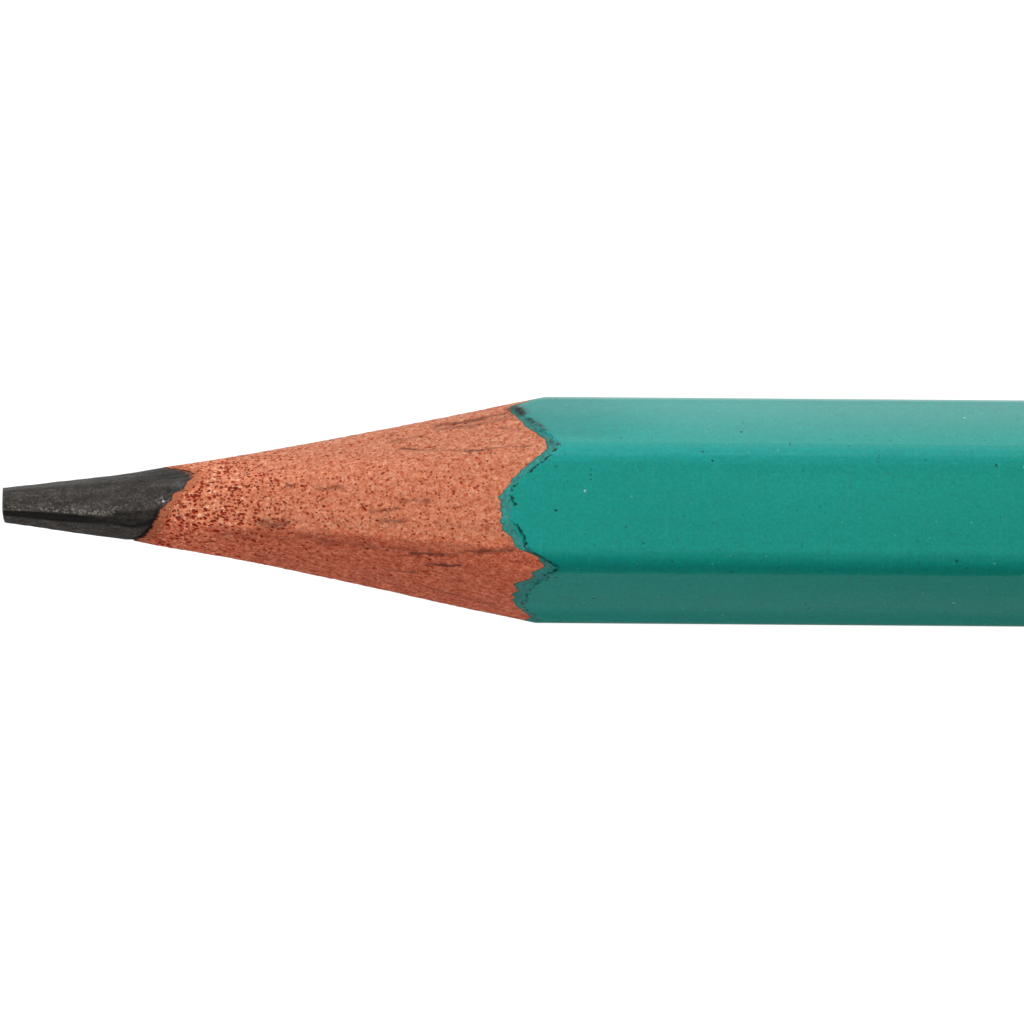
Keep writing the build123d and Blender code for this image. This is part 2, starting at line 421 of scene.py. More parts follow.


# ------------------------------------------------------------------- the lead
# Painted light and shade on the graphite, by direction: painted shade along its +Y side, painted light just above the
# dark flat.
LEAD_LIGHT_AND_SHADE = [(0, 0.57), (25, 0.50), (40, 0.50), (48, 0.66), (55, 0.87), (62, 0.92), (68, 0.82), (74, 0.82), (82, 1.02), (90, 1.16), (100, 1.16), (110, 1.07), (125, 1.0), (330, 1.0), (360, 0.57)]
N = 400
th = np.linspace(0, 2 * math.pi, N, endpoint=False)
t_end = lead_end(th)
rows, attr_band_shade, attr_spark, attr_rim, attr_t, attr_low, attr_face, attr_blue, attr_painted_light_shade = [], [], [], [], [], [], [], [], []


def front_t(share, th):
    return 0.012 + (0.045 - 0.034 * np.cos(th)) * share**3.0 + 0.010 * noise(np.cos(th) * share * 2.2, np.sin(th) * share * 2.2, 0.5, 77) * share


def add_lead(t, r, face=0.0):
    y, z = r * np.cos(th), r * np.sin(th)
    rows.append(put(TIP + t + 0 * th, y, z))
    deg = np.degrees(th)
    s, a, b = band_s(t, deg)
    wob = 0.05 * noise(t * 4, th * 8, 1.0, 61)
    s0, soft = through(BAND_DARK, t), step(2.6, 3.2, t)
    # painted shade: the narrow flat darkened, more in the crease at its foot, with a painted shadow in the recess where
    # the lead goes into the wood
    band_shade = step(s0 - 0.06 - 0.12 * soft, s0 + 0.03 + 0.10 * soft, s + wob) * (1 - step(0.93, 1.05, s + wob))
    band_shade = np.maximum(band_shade * (1 - 0.12 * soft), 0.36 * soft * step(-0.04, 0.07, s + wob) * (1 - step(0.93, 1.05, s + wob)))
    crease_shade = np.exp(-(((s - 0.95 + wob) / 0.12) ** 2)) * step(1.8, 3.2, t) * (1 - step(4.9, 5.3, t))
    shade = (1 - step(0.07, 0.23, t_end - t)) * step(86, 100, deg) * (1 - step(176, 190, deg))
    attr_band_shade.append((np.maximum.reduce([band_shade, 0.95 * crease_shade, 1.0 * shade]) + 0.45 * crease_shade) * np.where(t < 7, 1, 0))
    # where painted sparkle and glints go, most round the SPARKLE points
    spark = np.exp(-(((s + 0.46) / 0.42) ** 2)) * (1 - 0.85 * step(3.7, 4.3, t)) * (0.45 + 0.55 * step(0.9, 2.2, t))
    bright = near(t + 0 * th, th, SPARKLE)
    attr_spark.append(np.maximum(spark, 2.0 * np.exp(-((bright / 0.12) ** 2))) * np.where(deg < 180, 1, 0.0))
    # painted light: the lower flat below the dark flat is made paler
    attr_low.append(step(1.0, 1.16, s) * (1 - step(200, 230, deg)) * (0.38 + 0.34 * step(3.7, 4.4, t)))
    attr_blue.append(np.exp(-(((t - 6.12) / 0.26) ** 2) - (((deg - 57) / 11.0) ** 2)) + 0 * th)
    # painted light and shade by direction, with more painted shade further back along the lead
    attr_painted_light_shade.append(through(LEAD_LIGHT_AND_SHADE, deg) * (1 - 0.14 * step(3.6, 5.0, t) * (1 - step(64, 84, deg))) * (1 - 0.22 * step(3.4, 4.0, t) * step(76, 86, deg)) + 0 * t)
    attr_face.append(0.0 * th + face)
    # distance to where the lead goes into the wood, for a painted shadow there, pushed off on the +Y side
    attr_rim.append(t_end - t + 0.5 * (1 - step(84, 96, deg)) * (deg < 180))
    attr_t.append(t + 0 * th)


tip_r = env(np.full(N, 0.10), th)
# the tip's front face, marked for painted shade and, at its edge, a painted highlight
for share in (0.12, 0.3, 0.48, 0.64, 0.76, 0.86, 0.93, 0.965, 0.985, 1.0):
    add_lead(front_t(share, th), tip_r * (share - 0.006 * step(0.93, 1.0, share)), 1.0 if share < 0.97 else -1.0 if share < 0.99 else -0.6)
n_cone = 200
for k in range(1, n_cone + 1):
    q = k / n_cone
    t = 0.11 + (t_end - 0.11) * q
    r = env(t, th)
    grooves = 0.0045 * noise(th * 17, t * 0.45, 3.0, 81) + 0.002 * noise(th * 40, t * 0.9, 7.0, 83)
    lumps = 0.010 * fbm(r * np.cos(th) * 5.0, r * np.sin(th) * 5.0, t * 4.0, 4, 85)
    hollow = -0.05 * np.exp(-((t_end - t) / 0.15) ** 2) * (0.06 + 0.94 * step(86, 112, np.degrees(th)) * (1 - step(170, 200, np.degrees(th))))
    add_lead(t, r + grooves + lumps + hollow)
rc = round_r(th, CORE_R)
for d in (0.04, 0.3, 0.6, 0.9, 1.2, 1.6, 2.1):
    add_lead(t_end + d, np.minimum(rc, env(t_end + d, th) - 0.07))
for t, r in ((np.full(N, 9.4), rc), (np.full(N, 60.0), rc), (np.full(N, 2 * REAR - 0.03), rc), (np.full(N, 2 * REAR - 0.004), rc - 0.02), (np.full(N, 2 * REAR), rc * 0.93), (np.full(N, 2 * REAR), rc * 0.4)):
    add_lead(t, r)
P = np.concatenate(rows)
n_r = len(rows)
faces = rings(n_r, N)
first, last = len(P), len(P) + 1
P = np.concatenate([P, put(np.array([TIP + 0.012]), np.array([0.0]), np.array([0.0])), put(np.array([REAR]), np.array([CORE_Y]), np.array([0.0]))])
faces += [[first, (j + 1) % N, j] for j in range(N)]
faces += [[last, (n_r - 1) * N + j, (n_r - 1) * N + (j + 1) % N] for j in range(N)]
pad = lambda a, v: np.concatenate([np.concatenate(a), v])
lead = make(
    "graphite_lead", P, faces, 40,
    attributes=(
        ("band_shade", pad(attr_band_shade, [0, 0])), ("spark", pad(attr_spark, [0, 0])), ("rim", pad(attr_rim, [9, 9])),
        ("along", pad(attr_t, [0, 172])), ("low", pad(attr_low, [0, 0])), ("face", pad(attr_face, [1, 0])), ("blue", pad(attr_blue, [0, 0])), ("painted_light_shade", pad(attr_painted_light_shade, [1, 1])),
    ),
)
outward(lead)
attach(lead, "root"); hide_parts("graphite_core")

# ------------------------------------------------------- glue round the lead
N = 300
th = np.linspace(0, 2 * math.pi, N, endpoint=False)
t0, t1 = lead_end(th), wood_start(th)
rc, rb = round_r(th, CORE_R + 0.002), round_r(th, BOND_R - 0.002)
loop = [(np.full(N, 2 * REAR), rc), (np.full(N, 9.2), rc)]
for d in (1.9, 1.2, 0.7, 0.3):
    loop.append((t0 + d, np.minimum(rc, env(t0 + d, th) - 0.065)))
loop.append((t0 + 0.02, np.minimum(rc, env(t0, th) - 0.012)))
for q in (0.12, 0.35, 0.6, 0.85):
    loop.append((t0 + (t1 - t0) * q, env(t0 + (t1 - t0) * q, th) - 0.022 + 0.008 * noise(th * 20, q * 3, 0.0, 91)))
for d in (0.02, 0.3, 0.7, 1.2, 1.9):
    loop.append((t1 + d, np.minimum(rb, env(t1 + d, th) - 0.03)))
loop += [(np.full(N, 9.2), rb), (np.full(N, 2 * REAR), rb)]
P = np.concatenate([put(TIP + t, r * np.cos(th), r * np.sin(th)) for t, r in loop])
bond = make("glue_sleeve", P, rings(len(loop), N, closed_rings=True))
outward(bond)
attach(bond, "root"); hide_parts("core_bond")

# ------------------------------------------------------------------ the slats
# Pores cut open by the blade. Near the lead they are coarse and run together
# in short chains; further back they are single and small.
pores, pore_size = [], []
for _ in range(2500):
    t = 5.0 + 5.0 * rng.random() ** 1.35
    th = rng.random() * 2 * math.pi
    deg = math.degrees(th)
    if rng.random() > (0.45 if 116 < deg < 205 else 1.0) * (1.15 - 0.16 * (t - 5.0)):
        continue
    size = (0.021 + 0.038 * rng.random() ** 3.4) * (1.3 - 0.14 * (t - 5.0))
    lean = rng.normal(-0.45, 0.6)
    for k in range(1 + int(2.9 * rng.random() ** 2.8)):
        pores.append((t, th, size * (0.7 + 0.6 * rng.random())))
        r = float(cone_r(t))
        t += 0.050 * math.cos(lean)
        th += 0.050 * math.sin(lean) / r * -1
        lean += rng.normal(0, 0.3)
n_far = 1500
far_t = 7.5 + 9.5 * rng.random(n_far) ** 1.3
far_th = rng.random(n_far) * 2 * math.pi
far_ok = rng.random(n_far) < 0.30 + 0.70 * step(-0.1, 0.5, noise(far_t * 1.1, far_th * 3.0, 0.0, 19))
pores += [(a, b, 0.020 + 0.018 * c) for a, b, c, k in zip(far_t, far_th, rng.random(n_far), far_ok) if k]
pores = np.array(pores)
keep_off = pores[:, 0] - lead_end0(pores[:, 1]) > 0.26 + 0.12 * noise(pores[:, 1] * 3, 0, 0, 23)
pores = pores[keep_off]
pore_size = pores[:, 2]
pore_r = env(pores[:, 0], pores[:, 1])
pores = np.stack([pores[:, 0], pore_r * np.cos(pores[:, 1]), pore_r * np.sin(pores[:, 1])], -1)
cells = {}
CELL = 0.16
for i, p in enumerate(pores):
    cells.setdefault(tuple(np.floor(p / CELL).astype(int)), []).append(i)


def pore_depth(t, y, z):
    """0 to 1 inside a pore, for each point."""
    q = np.stack([t, y, z], -1)
    out = np.zeros(len(q))
    wob = 1 + 0.42 * noise(t * 14, y * 14, z * 14, 5)
    key = np.floor(q / CELL).astype(int)
    order = np.lexsort(key.T)
    ks = key[order]
    cut = np.nonzero(np.any(np.diff(ks, axis=0) != 0, axis=1))[0] + 1
    for block in np.split(order, cut):
        k = key[block[0]]
        near_i = [i for dx in (-1, 0, 1) for dy in (-1, 0, 1) for dz in (-1, 0, 1) for i in cells.get((k[0] + dx, k[1] + dy, k[2] + dz), ())]
        if not near_i:
            continue
        d = q[block][:, None, :] - pores[near_i][None]
        d[..., 0] *= 0.95
        d = np.sqrt((d**2).sum(-1)) / pore_size[near_i][None]
        out[block] = np.maximum(out[block], 1 - step(0.55, 1.25, d.min(1) * wob[block]))
    return out


def slat(name, node, side, n_cols, n_rows):
    """One half of the casing. side is 1 for the upper slat and -1 for the lower."""
    base = np.linspace(0, 1, n_cols)
    half = SEAM / 2 + 0.002

    def turn(r):
        a = np.arcsin(np.clip(half / r, 0, 1))
        th = a + (math.pi - 2 * a) * base
        return th if side > 0 else th + math.pi

    th0 = turn(np.full(n_cols, 1.5))
    t_in = wood_start(th0)
    t_out = film_edges(turn(np.full(n_cols, 3.8)))[0]
    rows, lines = [], []
    q = np.linspace(0, 1, n_rows)
    q = 0.62 * q + 0.38 * q**1.9  # closer rows near the lead
    for k, s in enumerate(q):
        t = t_in + (t_out - t_in) * s
        r = env(t, th0)
        thk = turn(r)
        r = env(t, thk)
        rows.append((t, thk, r))
        lines.append("cut")
    t_all = np.concatenate([r[0] for r in rows])
    th_all = np.concatenate([r[1] for r in rows])
    r_all = np.concatenate([r[2] for r in rows])
    y, z = r_all * np.cos(th_all), r_all * np.sin(th_all)
    pit = pore_depth(t_all, y, z)
    end0 = np.tile(t_in, n_rows)
    end1 = np.tile(t_out, n_rows)
    edge = step(0, 0.12, t_all - end0) * step(0, 0.10, end1 - t_all)
    dark = np.zeros(len(t_all))
    if side > 0:
        wob = 1 + 0.55 * noise(t_all * 3.1, y * 9, z * 9, 15)
        shift = 0.05 * noise(t_all * 2.0, y * 2.0, z * 2.0, 16)
        for points, width, strength in STREAKS:
            dark = np.maximum(dark, strength * np.exp(-(((near(t_all, th_all, points) + shift) / (width * wob)) ** 2)))
    grain = fbm(t_all * 0.9, y * 6.5, z * 6.5, 3, 101)  # long fibres
    mottle = fbm(t_all * 5.5, y * 6, z * 6, 3, 103)
    relief = 0.012 * mottle + 0.006 * grain - 0.040 * pit - 0.012 * dark
    relief = relief + 0.010 * fbm(t_all * 11, y * 12, z * 12, 2, 107)
    # the wood stands up in a small lip where it meets the lead
    lip = 0.018 * np.exp(-((t_all - end0) / 0.10) ** 2)
    r_all = r_all + relief * edge + lip * (1 - 0.7 * step(0.5, 1.0, np.abs(np.cos(th_all))))
    r_all = np.minimum(r_all, hex_r(th_all, WOOD_IN + 0.001))
    hinge = np.tile((base < 1e-9) | (base > 1 - 1e-9), n_rows)
    y2, z2 = r_all * np.cos(th_all), r_all * np.sin(th_all)
    z2 = np.where(hinge, side * half, z2)
    pts = [put(TIP + t_all, y2, z2)]
    deg = np.degrees(th_all) % 360
    low = step(106, 120, deg + 2.2 * noise(t_all * 1.3, deg * 0.06, 0.0, 111)) * (1 - step(192, 235, deg))
    zero = np.zeros(n_cols)
    data = {"pit": [pit], "dark": [dark], "low": [low], "edge_in": [t_all - end0], "edge_out": [end1 - t_all], "along": [t_all]}

    def hidden(t, r_of):
        thk = turn(r_of(th0))
        r = r_of(thk)
        yy, zz = r * np.cos(thk), r * np.sin(thk)
        zz[0], zz[-1] = side * half, side * half
        pts.append(put(TIP + t + zero, yy, zz))
        for key, value in (("pit", 0), ("dark", 0), ("low", 0), ("edge_in", 9), ("edge_out", 9)):
            data[key].append(zero + value)
        data["along"].append(t + zero)

    body = lambda th: hex_r(th, WOOD_IN + 0.002)
    bore = lambda th: round_r(th, BOND_R + 0.002)
    edge_r = env(t_out, turn(np.full(n_cols, 3.8)))
    hidden(t_out + 0.10, lambda th: np.minimum(body(th), np.maximum(edge_r, body(th) - 0.02)))
    hidden(np.maximum(t_out + 0.6, 19.0), body)
    for t in (24.0, 60.0, 110.0, 2 * REAR - 4):
        hidden(t, body)
    # the sawn end, with a slight unevenness
    hidden(2 * REAR - 0.03, body)
    hidden(2 * REAR, lambda th: body(th) - 0.03)
    for s in (0.2, 0.45, 0.7, 0.9):
        hidden(2 * REAR - 0.0, lambda th, s=s: body(th) * (1 - s) + bore(th) * s)
    hidden(2 * REAR, lambda th: bore(th) + 0.01)
    for t in (110.0, 24.0, 9.2):
        hidden(t, bore)
    for d in (1.9, 1.2, 0.7, 0.3, 0.06):
        hidden(t_in + d, lambda th, d=d: np.minimum(bore(th), env(t_in + d, th) - 0.025))
    P = np.concatenate(pts)
    n_loop = len(P) // n_cols
    ob = make(name, P, strip(n_loop, n_cols), 38, attributes=[(k, np.concatenate(v)) for k, v in data.items()])
    outward(ob)
    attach(ob, "root"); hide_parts(node)
    return ob


upper = slat("wood_slat_upper", "slat_upper", 1, 312, 296)
lower = slat("wood_slat_lower", "slat_lower", -1, 240, 190)

# --------------------------------------------------------------- glue lines


def glue_line(name, node, side):
    """The film of glue between the slats, on one side of the lead. side is 1 towards +Y."""
    th = np.array([0.0 if side > 0 else math.pi])
    t_in = float(wood_start(th)[0]); t_out = float(film_edges(th)[0][0])
    ts = np.linspace(t_in, t_out, 60)
    cut = env(ts, np.full(60, th[0])) - 0.012 + 0.006 * noise(ts * 4, 0, 0, 131)
    out_r, in_r = float(hex_r(th, WOOD_IN + 0.004)[0]), float(round_r(th, BOND_R + 0.002)[0])
    loop = list(zip(ts, cut)) + [(t_out + 0.1, out_r), (2 * REAR, out_r), (2 * REAR, in_r), (9.2, in_r)]
    for d in (1.9, 1.4, 1.0, 0.7, 0.4, 0.2, 0.05):
        loop.append((t_in + d, min(in_r, float(env(np.array([t_in + d]), th)[0]) - 0.05)))
    P, h = [], SEAM / 2 + 0.001
    for z in (-h, h):
        for t, r in loop:
            P.append([TIP + t, side * r, z])
    P = np.array(P)
    n = len(loop)
    faces = [[i, (i + 1) % n, n + (i + 1) % n, n + i] for i in range(n)] + [list(range(n))[::-1], list(range(n, 2 * n))]
    ob = make(name, put(P[:, 0], P[:, 1], P[:, 2]), faces)
    outward(ob)
    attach(ob, "root"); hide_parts(node)
    return ob


glue_l = glue_line("glue_line_plus_y", "glue_line_left", 1)
glue_r = glue_line("glue_line_minus_y", "glue_line_right", -1)

# ------------------------------------------------------------------ lacquer
N = 960
th = np.linspace(0, 2 * math.pi, N, endpoint=False)
e_wood, e_primer, e_colour, e_outer = film_edges(th)
flow = 0.004 * fbm(np.cos(th) * 1.2, np.sin(th) * 1.2, 0.0, 2, 141)  # the coats are not quite even


# How much dirt the outer edge of the cut holds, by direction.
DIRT = [
    (0, 0.3), (12, 0.5), (28, 1.0), (40, 1.0), (46, 0.35), (53, 1.0), (60, 0.8), (70, 1.0), (80, 0.9), (88, 1.0), (91, 0.25), (96, 0.15), (99, 0.8),
    (106, 0.8), (112, 1.0), (124, 1.0), (134, 0.75), (145, 0.6), (155, 0.9), (166, 0.7), (180, 0.5), (210, 0.9), (240, 0.4), (270, 0.8), (300, 1.0), (330, 0.5),
]


def coat(name, node, inner, outer, t_a, t_b, lift=0.0):
    """One coat: a shell from inset `outer` in to inset `inner`, whose cut edge runs from t_a on its inside to t_b on its outside."""
    ri, ro = hex_r(th, inner), hex_r(th, outer)
    crown = np.zeros(N)
    if outer == 0:
        ro = ro + flow - 0.004
        # the sloping sides are very slightly domed by the lacquer; the top and the face it rests on are not
        across_flat = (np.mod(np.degrees(th), 60) - 30) / 22.5
        sloping = np.abs(np.sin(th)) < 0.8
        crown = 0.034 * np.clip(1 - across_flat**2, 0, 1) * sloping
        # the top side's own dome is inside the hexagon: its middle stays, its edges are lower
        q = np.abs(across_flat)
        crown = crown - 0.03 * np.where(q < 1, q * q, 1 - step(1, 4 / 3, q)) * (np.sin(th) > math.sin(math.radians(60)))
    ea = np.minimum(env(t_a, th), ri)
    eb = np.minimum(env(t_b, th), ro)
    loop = []
    for q in (0.0, 0.25, 0.5, 0.75, 1.0):
        t = t_a + (t_b - t_a) * q
        r = ea + (eb - ea) * q
        r = r + (0.004 * fbm(np.cos(th) * 22, np.sin(th) * 22, q * 2.0, 2, 151) if 0 < q < 1 else 0)
        loop.append((t, r))
    if lift:
        loop[-1] = (t_b, eb + lift * np.clip(0.4 + noise(np.cos(th) * 11, np.sin(th) * 11, 0, 161), 0, 1))
    for d in (0.02, 0.05, 0.10, 0.2, 0.4, 0.9):
        loop.append((t_b + d, eb + (ro - eb) * step(0, 0.12, d) + lift * 0.4 * math.exp(-d / 0.03)))
    for t in (20.6, 22.5, 26.0, 34.0, 50.0, 80.0, 120.0, 155.0, 2 * REAR - 1.0, 2 * REAR - 0.05):
        loop.append((np.full(N, t), ro + crown * step(18.8, 23.5, t)))
    loop.append((np.full(N, 2 * REAR), ro - 0.6 * (ro - ri) * (0.5 if outer == 0 else 0.0)))
    loop.append((np.full(N, 2 * REAR), ri))
    for t in (120.0, 60.0, 24.0):
        loop.append((np.full(N, t), ri))
    loop.append((np.maximum(t_a + 0.5, 19.5), ri))
    loop.append((t_a + 0.08, np.maximum(np.minimum(ri, ea + 0.02), ea - 0.0)))
    P = np.concatenate([put(TIP + t, r * np.cos(th), r * np.sin(th)) for t, r in loop])
    n_loop = len(loop)
    since = np.concatenate([t - t_b for t, _ in loop])
    across = np.concatenate([(t - t_a) / np.maximum(t_b - t_a, 0.01) for t, _ in loop])
    where = np.tile(th, n_loop)
    along = np.concatenate([t + 0 * th for t, _ in loop])
    # where the blade left dirt along the outer edge
    gate = through(DIRT, np.degrees(where) % 360, 360) * step(-0.45, 0.05, fbm(np.cos(where) * 7.5, np.sin(where) * 7.5, 0.0, 3, 171))
    smudge = np.zeros(len(along))
    for points, width, strength in FILM_MARKS:
        smudge = np.maximum(smudge, strength * np.exp(-((near(along, where, points) / width) ** 2)))
    ob = make(name, P, rings(n_loop, N, closed_rings=True), 30,
              attributes=(("since", since), ("across", across), ("gate", gate), ("smudge", smudge), ("along", along)))
    outward(ob)
    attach(ob, "root"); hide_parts(node)
    return ob


clear = coat("lacquer_clear", "clear_coat", COLOUR_IN, 0.0, e_colour, e_outer, 0.006)
colour = coat("lacquer_colour", "colour_coat", PRIMER_IN, COLOUR_IN + 0.001, e_primer, e_colour)
primer = coat("lacquer_primer", "primer_coat", WOOD_IN, PRIMER_IN + 0.001, e_wood, e_primer)

# ----------------------------------------------------------------- materials


def lin(r, g, b):
    return tuple(((c / 255 + 0.055) / 1.055) ** 2.4 if c > 10.3 else c / 255 / 12.92 for c in (r, g, b)) + (1.0,)


class Mat:
    def __init__(self, name):
        self.m = bpy.data.materials.new(name)
        self.m.use_nodes = True
        self.nt = self.m.node_tree
        self.nt.nodes.clear()
        self.out = self.nt.nodes.new("ShaderNodeOutputMaterial")
        self.p = self.nt.nodes.new("ShaderNodeBsdfPrincipled")
        self.nt.links.new(self.p.outputs[0], self.out.inputs["Surface"])
        tc = self.nt.nodes.new("ShaderNodeTexCoord")
        self.mm = self.mapped(tc.outputs["Object"], (1000, 1000, 1000))
        self.normal = None

    def link(self, value, socket):
        if isinstance(value, (int, float)):
            socket.default_value = value
        elif isinstance(value, tuple):
            socket.default_value = value
        else:
            self.nt.links.new(value, socket)

    def mapped(self, vec, scale, shift=(0, 0, 0)):
        n = self.nt.nodes.new("ShaderNodeMapping")
        n.inputs["Scale"].default_value = scale
        n.inputs["Location"].default_value = shift
        self.nt.links.new(vec, n.inputs["Vector"])
        return n.outputs[0]

    def attr(self, name):
        n = self.nt.nodes.new("ShaderNodeAttribute")
        n.attribute_name = name
        return n.outputs["Fac"]

    def noise(self, scale, detail=3, rough=0.55, stretch=(1, 1, 1), shift=(0, 0, 0), distortion=0.0, colour=False):
        n = self.nt.nodes.new("ShaderNodeTexNoise")
        n.inputs["Scale"].default_value = scale
        n.inputs["Detail"].default_value = detail
        n.inputs["Roughness"].default_value = rough
        n.inputs["Distortion"].default_value = distortion
        self.nt.links.new(self.mapped(self.mm, stretch, shift), n.inputs["Vector"])
        return n.outputs["Color" if colour else "Fac"]

    def cells(self, scale, stretch=(1, 1, 1), shift=(0, 0, 0), warp=0.0, warp_scale=6.0):
        """(distance to the nearest cell point, a random number for the cell)"""
        vec = self.mapped(self.mm, stretch, shift)
        if warp:
            w = self.noise(warp_scale, 2, 0.5, (1, 1, 1), (3, 1, 7), 0.0, True)
            sub = self.nt.nodes.new("ShaderNodeVectorMath"); sub.operation = "SUBTRACT"
            self.nt.links.new(w, sub.inputs[0]); sub.inputs[1].default_value = (0.5, 0.5, 0.5)
            mul = self.nt.nodes.new("ShaderNodeVectorMath"); mul.operation = "SCALE"
            self.nt.links.new(sub.outputs[0], mul.inputs[0]); mul.inputs["Scale"].default_value = warp
            add = self.nt.nodes.new("ShaderNodeVectorMath"); add.operation = "ADD"
            self.nt.links.new(vec, add.inputs[0]); self.nt.links.new(mul.outputs[0], add.inputs[1])
            vec = add.outputs[0]
        n = self.nt.nodes.new("ShaderNodeTexVoronoi")
        n.inputs["Scale"].default_value = scale
        self.nt.links.new(vec, n.inputs["Vector"])
        s = self.nt.nodes.new("ShaderNodeSeparateColor")
        self.nt.links.new(n.outputs["Color"], s.inputs[0])
        return n.outputs["Distance"], s.outputs[0], s.outputs[1]

    def math(self, op, a, b=None, clamp=False):
        n = self.nt.nodes.new("ShaderNodeMath")
        n.operation = op
        n.use_clamp = clamp
        self.link(a, n.inputs[0])
        if b is not None:
            self.link(b, n.inputs[1])
        return n.outputs[0]

    def span(self, value, a, b, c=0.0, d=1.0, smooth=True):
        n = self.nt.nodes.new("ShaderNodeMapRange")
        n.interpolation_type = "SMOOTHSTEP" if smooth else "LINEAR"
        self.link(value, n.inputs["Value"])
        for key, v in (("From Min", a), ("From Max", b), ("To Min", c), ("To Max", d)):
            self.link(v, n.inputs[key])
        return n.outputs["Result"]

    def mix(self, fac, a, b, kind="MIX"):
        n = self.nt.nodes.new("ShaderNodeMix")
        n.data_type = "RGBA"
        n.blend_type = kind
        self.link(fac, n.inputs[0])
        self.link(a, n.inputs[6])
        self.link(b, n.inputs[7])
        return n.outputs[2]

    def ramp(self, fac, *stops):
        n = self.nt.nodes.new("ShaderNodeValToRGB")
        e = n.color_ramp.elements
        while len(e) < len(stops):
            e.new(0.5)
        for el, (pos, col) in zip(e, stops):
            el.position = pos
            el.color = col
        self.link(fac, n.inputs[0])
        return n.outputs[0]

    def scaled(self, colour, value):
        """A colour times a number."""
        n = self.nt.nodes.new("ShaderNodeVectorMath")
        n.operation = "SCALE"
        self.link(colour, n.inputs[0])
        self.link(value, n.inputs["Scale"])
        return n.outputs[0]

    def bump(self, height, distance, strength=1.0):
        n = self.nt.nodes.new("ShaderNodeBump")
        n.inputs["Distance"].default_value = distance * MM
        n.inputs["Strength"].default_value = strength
        self.link(height, n.inputs["Height"])
        if self.normal is not None:
            self.nt.links.new(self.normal, n.inputs["Normal"])
        self.normal = n.outputs[0]
        self.nt.links.new(self.normal, self.p.inputs["Normal"])

    def axis(self, i):
        s = self.nt.nodes.new("ShaderNodeSeparateXYZ")
        self.nt.links.new(self.mm, s.inputs[0])
        return s.outputs[i]

    def set(self, **kw):
        for key, value in kw.items():
            self.link(value, self.p.inputs[key.replace("_", " ")])


# --- cut wood: salmon, mottled, with dark red pores, brown streaks, graphite dust
w = Mat("cut_wood")
base = w.ramp(
    w.noise(5.0, 5, 0.68, (0.85, 1, 1)),
    (0.28, lin(180, 95, 66)), (0.45, lin(198, 115, 83)), (0.58, lin(206, 129, 98)), (0.75, lin(217, 150, 118)),
)
fine = w.noise(11.0, 4, 0.8, (0.85, 1, 1), (9, 2, 4))
col = w.mix(1.0, base, w.mix(w.span(fine, 0.22, 0.78, 0.0, 1.0), (0.60, 0.41, 0.30, 1.0), (1.48, 1.67, 1.78, 1.0)), "MULTIPLY")
along_t = w.attr("along")
nose = w.span(along_t, 6.5, 10.5, 1.0, 0.0)
fleck_d, fleck_r, fleck_q = w.cells(6.5, (0.6, 1, 1), (5, 5, 1), 0.16, 12)
flecks = w.math("MULTIPLY", w.span(fleck_d, 0.10, 0.46, w.span(nose, 0, 1, 0.5, 0.84, False), 0.0), w.span(fleck_r, w.span(nose, 0, 1, 0.60, 0.22, False), w.span(nose, 0, 1, 0.72, 0.32, False)))
col = w.mix(flecks, col, w.mix(nose, lin(228, 164, 130), lin(250, 198, 158)))
red_d, red_r, _ = w.cells(6.0, (0.75, 1, 1), (1, 8, 2), 0.16, 10)
col = w.mix(w.math("MULTIPLY", w.span(red_d, 0.18, 0.48, 0.6, 0.0), w.span(red_r, 0.54, 0.64)), col, lin(172, 62, 36))
# small pores everywhere, beside those cut into the mesh
cluster = w.noise(0.9, 3, 0.6, (0.6, 1, 1), (2, 9, 2))
dot_d, dot_r, dot_q = w.cells(7.6, (0.9, 1, 1), (2, 3, 5), 0.10, 15)
size = w.span(dot_q, 0.0, 1.0, 0.16, 0.30, False)
dots = w.math("MULTIPLY", w.math("SUBTRACT", 1.0, w.span(w.math("DIVIDE", dot_d, size), 0.55, 1.2)), w.span(w.math("ADD", dot_r, w.span(cluster, 0.35, 0.65, -0.22, 0.2, False)), 0.44, 0.50))
low = w.attr("low")
col = w.scaled(col, w.span(nose, 0.0, 1.0, 1.0, 1.12, False))
lowtex = w.noise(6.5, 4, 0.78, (0.5, 1, 1), (5, 5, 9))
col = w.mix(1.0, col, w.mix(low, (1.0, 1.0, 1.0, 1.0), w.mix(w.span(lowtex, 0.30, 0.70, 0.0, 1.0), (0.82, 0.70, 0.60, 1.0), (1.20, 1.32, 1.44, 1.0))), "MULTIPLY")
many_d, many_r, many_q = w.cells(8.0, (0.95, 1, 1), (7, 1, 3), 0.10, 15)
many = w.math("SUBTRACT", 1.0, w.span(w.math("DIVIDE", many_d, w.math("MULTIPLY", w.span(many_q, 0.0, 1.0, 0.20, 0.50, False), w.span(along_t, 8.0, 12.0, 1.0, 0.78))), 0.55, 1.2))
front = w.span(w.math("ADD", along_t, w.span(cluster, 0.3, 0.7, 1.2, -1.2, False)), 7.0, 11.5, 1.0, 0.0)
belt = w.math("MULTIPLY", w.span(w.math("ABSOLUTE", w.math("SUBTRACT", w.axis(1), 0.15)), 0.45, 1.5, 1.0, 0.38), w.span(along_t, 10.5, 15.0, 1.0, 0.35))
share = w.math("SUBTRACT", 1.0, w.math("MULTIPLY", w.math("MAXIMUM", front, belt), 0.56))
many = w.math("MULTIPLY", w.math("MULTIPLY", many, w.math("GREATER_THAN", many_r, share)), w.span(w.attr("edge_in"), 0.20, 0.45))
dots = w.math("MULTIPLY", w.math("MAXIMUM", dots, many), w.span(low, 0, 1, 0.92, 0.4, False))
pit = w.attr("pit")
hole = w.math("MAXIMUM", w.math("MULTIPLY", pit, w.span(fine, 0.3, 0.6, 1.0, 0.75, False)), dots)
